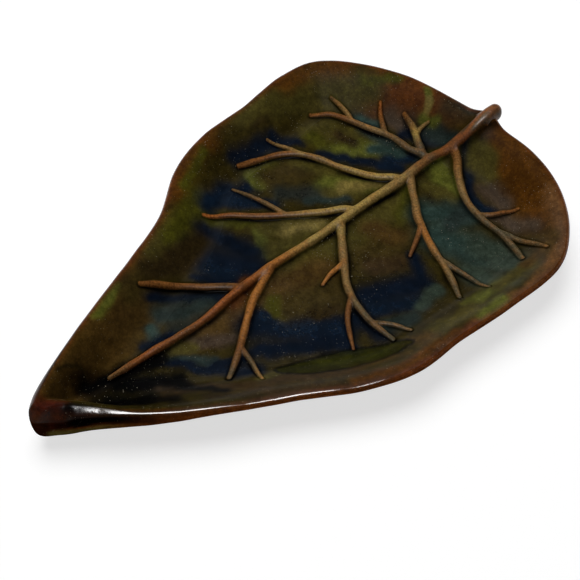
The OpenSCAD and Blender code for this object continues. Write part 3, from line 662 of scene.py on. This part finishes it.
def cord_piece(name):
    """A side vein or twig: its rounded top blends into the dish, and its flat underside lies in the floor."""
    kind = name.split("_")[0]
    path, wide, high = cords[name]
    l = lengths(path)
    root = CORD_SIZES["midrib" if kind == "vein" else "vein"][0] / 2 * 0.8
    s = np.arange(root, l[-1] + wide[-1] / 2 * SKIRT, CORD_STEP)
    centre = along(path, s)
    run = along(path, s + 0.3) - along(path, s - 0.3)
    aside = np.column_stack([-run[:, 1], run[:, 0]]) / np.linalg.norm(run, axis=1)[:, None]
    reach = np.interp(s, l, wide) / 2 * SKIRT
    t = np.linspace(-1, 1, CORD_COLUMNS)
    flat = (centre[:, None] + aside[:, None] * (reach[:, None] * t)[:, :, None]).reshape(-1, 2)
    height, vein, pool_and_shade = relief(flat)
    base = top_z(flat)
    sunk = np.zeros(len(flat))
    for parent in parents(name):
        parent_path, parent_wide, _ = cords[parent]
        d, at = nearest(flat, parent_path)
        r = d / (np.interp(at, lengths(parent_path), parent_wide) / 2)
        sunk = np.maximum(sunk, 0.3 * fade((r - 0.9) / 0.45))
    depth = 0.35 * ripples(flat, 26, 3) + 0.12 * ripples(flat, 9, 4)
    depth = depth * rise(base, UNDER_Z + 1, FLOOR_Z)
    upper = np.column_stack([flat, base + height + LIFT[kind] - sunk - depth])
    lower = np.column_stack([flat, base - DEPTH - sunk - depth])
    return strip(name, upper, lower, len(s), CORD_COLUMNS, (vein, pool_and_shade))


def parents(name):
    """The cords that a vein or twig grows from."""
    return ["midrib"] if name.startswith("vein") else ["midrib", name.replace("twig", "vein")[:-1]]


def strip(name, upper, lower, rows, columns, near_cords):
    """A closed solid between an upper and a lower grid of the same points."""
    n = rows * columns
    faces = grid_faces(rows, columns)
    faces += [tuple(n + k for k in f[::-1]) for f in grid_faces(rows, columns)]
    edge = [*range(columns), *range(2 * columns - 1, n, columns), *range(n - 2, n - columns - 1, -1),
            *range(n - 2 * columns, 0, -columns)]
    faces += [(a, b, n + b, n + a) for a, b in zip(edge, edge[1:] + edge[:1])]
    points = np.vstack([upper, lower])
    values = leaf_values(points[:, :2], *(np.concatenate([v, v]) for v in near_cords))
    return solid(name + "_cord", points, faces, name, values)


PEG_DROP = 2.4
PEG_POINTS = 32


def midrib():
    """The midrib: a ridge on the floor that rises over the rim and stands out as a round peg."""
    path, wide, high = cords["midrib"]
    l = lengths(path)
    top_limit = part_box("midrib")[1][2] / MM - 0.02
    s = np.concatenate([[0.02, 0.15, 0.4, 0.7], np.arange(1.05, l[-1] + wide[-1] / 2 * SKIRT, CORD_STEP)])
    peg = fade((s - STEM_OVER - 0.5) / 4)
    centre = along(path, s)
    run = along(path, s + 0.3) - along(path, s - 0.3)
    aside = np.column_stack([-run[:, 1], run[:, 0]]) / np.linalg.norm(run, axis=1)[:, None]
    w, h = np.interp(s, l, wide), np.interp(s, l, high)
    angle = np.linspace(0, 2 * math.pi, PEG_POINTS, endpoint=False)
    end_r = 2.6
    cap = np.sqrt(np.clip(1 - (1 - np.clip(s / end_r, 0, 1))**2, 0, 1))
    spread = w / 2 * mixed(SKIRT, 1, peg) * cap
    flat = (centre[:, None] + aside[:, None] * (spread[:, None] * np.cos(angle))[:, :, None]).reshape(-1, 2)
    seat = flat.copy()
    seat[:, 1] = np.minimum(seat[:, 1], notch[1] - LIP_R)
    base = top_z(seat)
    depth = 0.35 * ripples(flat, 26, 3) + 0.12 * ripples(flat, 9, 4)
    base = base - depth * rise(base, UNDER_Z + 1, FLOOR_Z)
    height, vein, pool_and_shade = relief(flat)
    up, w_all, h_all, peg_all, cap_all = (np.tile(np.sin(angle), len(s)), *(
        np.repeat(v, PEG_POINTS) for v in (w, h, peg, cap)))
    ridge = np.where(up >= -1e-9, base + height + LIFT["midrib"], base - DEPTH)
    middle = (h_all - PEG_DROP) / 2
    round_z = base + middle + (h_all + PEG_DROP) / 2 * up * cap_all
    z = np.minimum(mixed(ridge, round_z, peg_all), top_limit)
    points = np.column_stack([flat, z])
    rows = len(s)
    faces = grid_faces(rows, PEG_POINTS, wrap_columns=True)
    faces += [tuple(range(PEG_POINTS)), tuple(range(rows * PEG_POINTS - 1, (rows - 1) * PEG_POINTS - 1, -1))]
    vein = mixed(vein, 0, peg_all)
    values = leaf_values(points[:, :2], vein, pool_and_shade)
    stem = rise(points[:, 1], 68, 76)
    values["shine"] = mixed(values["shine"], mixed(1.2, 0, rise(vein, 0.6, 0.9)), stem)
    values["gloss"] = mixed(values["gloss"], 0.85, stem)
    return solid("midrib_cord", points, faces, "midrib", values)


def foot():
    """The oval foot ring, with softened edges."""
    low, high = (np.array(corner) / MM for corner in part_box("foot_ring"))
    centre, reach = (low + high)[:2] / 2, (high - low)[:2] / 2
    edge = 0.6
    section = [(0, high[2]), (0, edge), (edge / 3, edge / 3), (edge, 0), (FOOT_W - edge, 0),
               (FOOT_W - edge / 3, edge / 3), (FOOT_W, edge), (FOOT_W, high[2])]
    angle = np.linspace(0, 2 * math.pi, 160, endpoint=False)
    points = np.array([[centre[0] + (reach[0] - inset) * math.cos(a), centre[1] + (reach[1] - inset) * math.sin(a), z]
                       for a in angle for inset, z in section])
    faces = grid_faces(len(angle), len(section), wrap_rows=True, wrap_columns=True)
    return solid("foot", points, faces, "foot_ring", {})


class Graph:
    """Adds shader nodes and joins them. An input is a socket or a plain value."""

    def __init__(self, tree):
        self.tree = tree
        tree.nodes.clear()

    def node(self, kind, values=(), **settings):
        made = self.tree.nodes.new(kind)
        for key, value in settings.items():
            setattr(made, key, value)
        for key, value in dict(values).items():
            if isinstance(value, bpy.types.NodeSocket):
                self.tree.links.new(value, made.inputs[key])
            else:
                made.inputs[key].default_value = value
        return made

    def math(self, operation, a, b=0.0, c=0.0):
        return self.node("ShaderNodeMath", {0: a, 1: b, 2: c}, operation=operation).outputs[0]

    def rise(self, value, low, high):
        made = self.node("ShaderNodeMapRange", {"Value": value, "From Min": low, "From Max": high},
                         interpolation_type="SMOOTHSTEP")
        return made.outputs["Result"]

    def mix(self, a, b, factor, blend="MIX"):
        made = self.node("ShaderNodeMix", {0: factor, 6: a, 7: b}, data_type="RGBA", blend_type=blend)
        return made.outputs[2]

    def value(self, name):
        return self.node("ShaderNodeAttribute", attribute_name=name)

    def noise(self, scale, detail=2.0, roughness=0.5):
        where = self.node("ShaderNodeTexCoord").outputs["Object"]
        made = self.node("ShaderNodeTexNoise", {"Vector": where, "Scale": scale, "Detail": detail,
                                                "Roughness": roughness})
        return made.outputs["Fac"]


def rgba(name):
    return (*linear(GLAZES[name]), 1)


def glaze_material(name, tint):
    """Pooled glaze: colour from the strokes, thin over the cords with painted light on their tops and painted shade
    on their flanks, dark beside them from pooled glaze and painted shade, with light specks of pinholes and painted
    glints, and clay grain.
    """
    material = bpy.data.materials.new(name)
    material.use_nodes = True
    g = Graph(material.node_tree)
    vein, pool_and_shade = g.value("vein").outputs["Fac"], g.value("pool_and_shade").outputs["Fac"]
    gloss, shine = g.value("gloss").outputs["Fac"], g.value("shine").outputs["Fac"]
    cloud = g.noise(70, 4, 0.6)
    mottle = g.noise(300, 3, 0.6)
    grain = g.noise(1600, 2, 0.7)

    pooled = g.value("glaze").outputs["Color"]
    shaded = g.math("MULTIPLY_ADD", g.rise(cloud, 0.3, 0.7), 0.3, 0.85)
    shaded = g.math("MULTIPLY", shaded, g.math("MULTIPLY_ADD", g.rise(mottle, 0.3, 0.7), 0.45, 0.8))
    shaded = g.math("MULTIPLY", shaded, g.math("MULTIPLY_ADD", g.rise(g.noise(750, 2, 0.6), 0.3, 0.7), 0.35, 0.83))
    pooled = g.node("ShaderNodeVectorMath", {0: pooled, "Scale": shaded}, operation="SCALE").outputs[0]
    # Dark line beside the cords: pooled glaze and painted shade
    pooled = g.mix(pooled, rgba("black"), g.math("MULTIPLY", pool_and_shade, 0.9))
    patchy = g.math("MULTIPLY", g.rise(mottle, 0.4, 0.7), 0.35)
    cord_colour = g.mix(g.value("cord_glaze").outputs["Color"], rgba(tint), patchy)
    uneven = g.math("MULTIPLY_ADD", mottle, 0.3, vein)
    thin = g.math("SUBTRACT", 1.0, g.rise(uneven, 0.95, 1.3))
    # Painted light across a cord: its top lighter and its flanks darker, as light falls on a round cord
    lit_top_and_shaded_flanks = g.math("MULTIPLY_ADD", g.rise(vein, 0.3, 1.0), -0.5, 1.18)
    cord_colour = g.node("ShaderNodeVectorMath", {0: cord_colour, "Scale": lit_top_and_shaded_flanks}, operation="SCALE").outputs[0]
    colour = g.mix(pooled, cord_colour, thin)
    grit = g.math("MULTIPLY_ADD", g.rise(grain, 0.25, 0.75), g.math("MULTIPLY_ADD", thin, 0.95, 0.35), 0.72)
    colour = g.node("ShaderNodeVectorMath", {0: colour, "Scale": grit}, operation="SCALE").outputs[0]

    # Light specks: pinholes in the glaze, and painted glints
    specks_and_glints = g.math("MULTIPLY", g.rise(g.noise(2600, 1), 0.73, 0.77), g.rise(g.noise(48, 3), 0.42, 0.6))
    colour = g.mix(colour, rgba("speck_and_glint"), g.math("MULTIPLY", specks_and_glints, 0.7))

    height = g.math("MULTIPLY_ADD", g.noise(900, 2), 0.35, cloud)
    height = g.math("MULTIPLY_ADD", mottle, 0.5, height)
    bump = g.node("ShaderNodeBump", {"Height": height, "Strength": 0.25, "Distance": 0.0002})
    rough = g.math("MULTIPLY_ADD", gloss, -0.43, 0.55)
    rough = g.math("MULTIPLY_ADD", g.math("MULTIPLY", thin, gloss), 0.25, rough)
    clear = g.math("MULTIPLY_ADD", g.rise(vein, 1.3, 2.4), 0.98, 0.02)
    shine = g.math("MULTIPLY", shine, g.math("MAXIMUM", clear, g.math("MULTIPLY", thin, 0.28)))
    shader = g.node("ShaderNodeBsdfPrincipled", {"Base Color": colour, "Roughness": rough,
                                                 "Specular IOR Level": shine, "Normal": bump.outputs["Normal"]})
    out = g.node("ShaderNodeOutputMaterial")
    g.tree.links.new(shader.outputs["BSDF"], out.inputs["Surface"])
    return material


def clay_material():
    material = bpy.data.materials.new("bare_clay")
    material.use_nodes = True
    g = Graph(material.node_tree)
    patches, grit = g.noise(120, 4, 0.6), g.noise(1800, 3, 0.7)
    colour = g.mix((*linear((150, 96, 66)), 1), (*linear((112, 66, 44)), 1), g.rise(patches, 0.35, 0.65))
    shaded = g.math("MULTIPLY_ADD", g.rise(grit, 0.3, 0.7), 0.4, 0.75)
    colour = g.node("ShaderNodeVectorMath", {0: colour, "Scale": shaded}, operation="SCALE").outputs[0]
    bump = g.node("ShaderNodeBump", {"Height": grit, "Strength": 0.4, "Distance": 0.0003})
    shader = g.node("ShaderNodeBsdfPrincipled", {"Base Color": colour, "Roughness": 0.85,
                                                 "Normal": bump.outputs["Normal"]})
    out = g.node("ShaderNodeOutputMaterial")
    g.tree.links.new(shader.outputs["BSDF"], out.inputs["Surface"])
    return material


materials = {"body_glaze": glaze_material("body_glaze", "dimtan"),
             "stem_glaze": glaze_material("stem_glaze", "redclay"),
             "vein_glaze": glaze_material("vein_glaze", "orange"),
             "bare_clay": clay_material()}

dish_body().data.materials.append(materials["body_glaze"])
midrib().data.materials.append(materials["stem_glaze"])
for cord_name in CORDS:
    cord_piece(cord_name).data.materials.append(materials["vein_glaze"])
foot().data.materials.append(materials["bare_clay"])


# Stage: a white floor that keeps the dish's shadow
FLOOR_HALF = 6
FLOOR_GREY = 0.42
FLOOR_LIFT = 0.68


def floor():
    mesh = bpy.data.meshes.new("floor")
    corners = [(-FLOOR_HALF, -FLOOR_HALF, 0), (FLOOR_HALF, -FLOOR_HALF, 0),
               (FLOOR_HALF, FLOOR_HALF, 0), (-FLOOR_HALF, FLOOR_HALF, 0)]
    mesh.from_pydata(corners, [], [(0, 1, 2, 3)])
    made = bpy.data.objects.new("floor", mesh)
    bpy.context.scene.collection.objects.link(made)
    material = bpy.data.materials.new("white_floor")
    material.use_nodes = True
    g = Graph(material.node_tree)
    path = g.node("ShaderNodeLightPath")
    seen = g.math("MAXIMUM", path.outputs["Is Camera Ray"], path.outputs["Is Glossy Ray"])
    seen = g.math("MAXIMUM", seen, path.outputs["Is Transmission Ray"])
    paper = g.node("ShaderNodeBsdfDiffuse", {"Color": (FLOOR_GREY, FLOOR_GREY, FLOOR_GREY, 1)})
    glow = g.node("ShaderNodeEmission", {"Strength": g.math("MULTIPLY", seen, FLOOR_LIFT)})
    both = g.node("ShaderNodeAddShader", {0: paper.outputs[0], 1: glow.outputs[0]})
    out = g.node("ShaderNodeOutputMaterial")
    g.tree.links.new(both.outputs[0], out.inputs["Surface"])
    mesh.materials.append(material)


LAMP_DISTANCE = 1.5


def lamp(name, side, elevation, size, radiance, mirrored):
    """A round softbox that faces the dish. One lamp shades it, and a smaller one shows in its glaze."""
    data = bpy.data.lights.new(name, "AREA")
    data.shape = "DISK"
    data.size = size
    data.energy = radiance * math.pi * math.pi * size**2 / 4
    made = bpy.data.objects.new(name, data)
    bpy.context.scene.collection.objects.link(made)
    angle = math.radians(elevation)
    back = Vector((*side, 0)).normalized() * math.cos(angle) + Vector((0, 0, math.sin(angle)))
    made.location = back * LAMP_DISTANCE
    made.rotation_euler = back.to_track_quat("Z", "Y").to_euler()
    made.visible_glossy = mirrored
    made.visible_diffuse = not mirrored


def world():
    """A dim studio: bright low down behind the dish, dark overhead."""
    made = bpy.data.worlds.new("studio")
    bpy.context.scene.world = made
    made.use_nodes = True
    g = Graph(made.node_tree)
    where = g.node("ShaderNodeTexCoord").outputs["Generated"]
    up = g.node("ShaderNodeSeparateXYZ", {0: where}).outputs["Z"]
    beyond = g.node("ShaderNodeVectorMath", {0: where, 1: (*AWAY, 0)}, operation="DOT_PRODUCT").outputs["Value"]
    band = g.math("SUBTRACT", 1.0, g.rise(up, 0.1, 0.5))
    band = g.math("MULTIPLY", band, g.math("MULTIPLY_ADD", g.rise(beyond, -0.3, 0.7), 0.35, 0.2))
    level = g.math("ADD", band, 0.03)
    background = g.node("ShaderNodeBackground", {"Color": (1, 1, 1, 1), "Strength": level})
    out = g.node("ShaderNodeOutputWorld")
    g.tree.links.new(background.outputs[0], out.inputs["Surface"])


floor()
lamp("key_softbox", (-0.977, 0.215), 70, 1.2, 5.8, False)
lamp("highlight_softbox", (0.835, -0.55), 68, 0.66, 26, True)
world()

# Camera, as worked out from the photograph
LOOK_AT = Vector((4.7, -0.6, 0)) * MM
CAMERA_DISTANCE = 0.44
CAMERA_ELEVATION = math.radians(55)
CAMERA_HEADING = math.radians(141.007)
LENS = 89

camera = bpy.data.objects.new("camera", bpy.data.cameras.new("camera"))
bpy.context.scene.collection.objects.link(camera)
camera.data.lens = LENS
camera.data.clip_start = 0.01
level_part = math.cos(CAMERA_ELEVATION)
forward = Vector((level_part * math.cos(CAMERA_HEADING), level_part * math.sin(CAMERA_HEADING),
                  -math.sin(CAMERA_ELEVATION)))
camera.location = LOOK_AT - forward * CAMERA_DISTANCE
camera.rotation_euler = forward.to_track_quat("-Z", "Y").to_euler()
bpy.context.scene.camera = camera
bpy.context.scene.view_settings.view_transform = "Standard"
